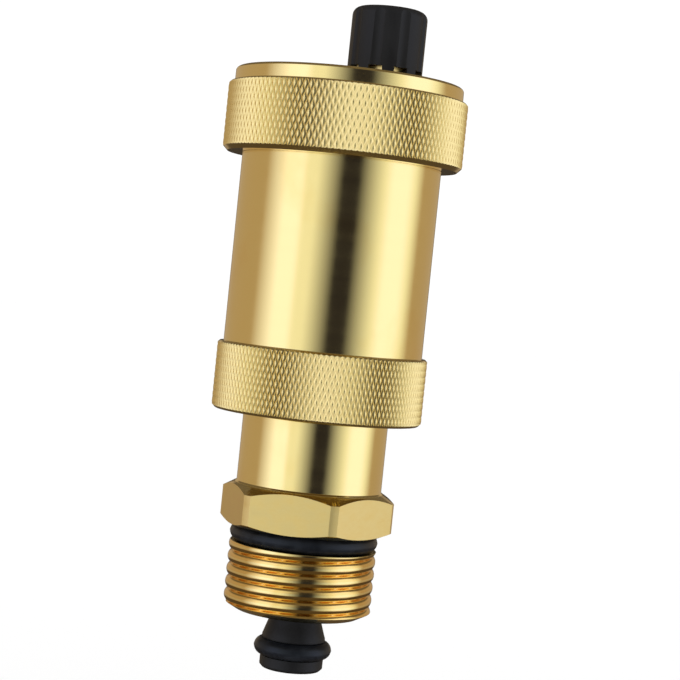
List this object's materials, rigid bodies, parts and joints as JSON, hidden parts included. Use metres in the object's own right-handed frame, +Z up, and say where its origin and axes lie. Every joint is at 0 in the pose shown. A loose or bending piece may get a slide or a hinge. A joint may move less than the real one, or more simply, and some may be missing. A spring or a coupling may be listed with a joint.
{
  "type": "automatic air vent",
  "caption": "Brass float-operated air vent with knurled cover and offset screw cap, on a threaded shut-off fitting with a sprung check plunger.",
  "frame": {"origin": "centre of the hexagon's underside, where the fitting seats, on the axis of the inlet thread", "axes": "+Z up along the inlet thread's axis, away from the pipe; +X from that axis towards the screw cap"},
  "size_m": [0.034, 0.0338, 0.0942],
  "materials": {
    "brass": "turned brass, lightly polished",
    "black_plastic": "moulded, fine grain",
    "rubber": "smooth nitrile rubber",
    "spring_steel": "drawn stainless wire",
    "steel": "stainless steel",
    "white_plastic": "moulded polypropylene",
    "fibre": "red vulcanised fibre"
  },
  "bodies": {
    "fitting": {"base_fitting": "brass", "port_o_ring": "rubber", "check_spring": "spring_steel"},
    "joint_ring": {"joint_o_ring": "rubber"},
    "vent": {"vent_body": "brass", "cover": "brass", "cover_o_ring": "rubber", "vent_nozzle": "brass", "nozzle_gasket": "fibre", "lever_bracket": "steel", "bracket_screws": "steel", "lever_pin": "steel", "lever_spring": "spring_steel"},
    "plunger": {"check_plunger": "black_plastic", "plunger_o_ring": "rubber", "spring_cup": "black_plastic"},
    "float": {"float_shell": "white_plastic", "float_lid": "white_plastic"},
    "lever": {"valve_lever": "brass", "seat_pad": "rubber", "link_pin": "steel"},
    "seal_disc": {"cap_seal": "rubber"},
    "cap": {"vent_cap": "black_plastic"}
  },
  "joints": [
    {"name": "vent_lift", "type": "slide", "parent": "fitting", "child": "joint_ring", "axis": [0, 0, 1], "range_m": [0, 0.00434]},
    {"name": "vent_turn", "type": "hinge", "parent": "joint_ring", "child": "vent", "pos_m": [0, 0, 0.0133], "axis": [0, 0, 1], "range_deg": [0, 1170]},
    {"name": "plunger_lift", "type": "slide", "parent": "fitting", "child": "plunger", "axis": [0, 0, 1], "range_m": [0, 0.00435], "deforming": ["check_spring"]},
    {"name": "float_slide", "type": "slide", "parent": "vent", "child": "float", "axis": [0, 0, 1], "range_m": [-0.0024, 0]},
    {"name": "lever_pivot", "type": "hinge", "parent": "vent", "child": "lever", "pos_m": [0.0096, 0, 0.0588], "axis": [0, 1, 0], "range_deg": [-14.33, 0], "deforming": ["lever_spring"]},
    {"name": "cap_lift", "type": "slide", "parent": "vent", "child": "seal_disc", "axis": [0, 0, 1], "range_m": [0, 0.003]},
    {"name": "cap_turn", "type": "hinge", "parent": "seal_disc", "child": "cap", "pos_m": [0.0047, 0, 0.0692], "axis": [0, 0, 1], "range_deg": [0, 1080.1]}
  ],
  "couplings": [
    {"joint": "vent_turn", "follows": "vent_lift", "rad_per_m": 4699.5},
    {"joint": "plunger_lift", "follows": "vent_lift", "ratio": 1},
    {"joint": "lever_pivot", "follows": "float_slide", "rad_per_m": 104.17},
    {"joint": "cap_turn", "follows": "cap_lift", "rad_per_m": 6283.2}
  ]
}
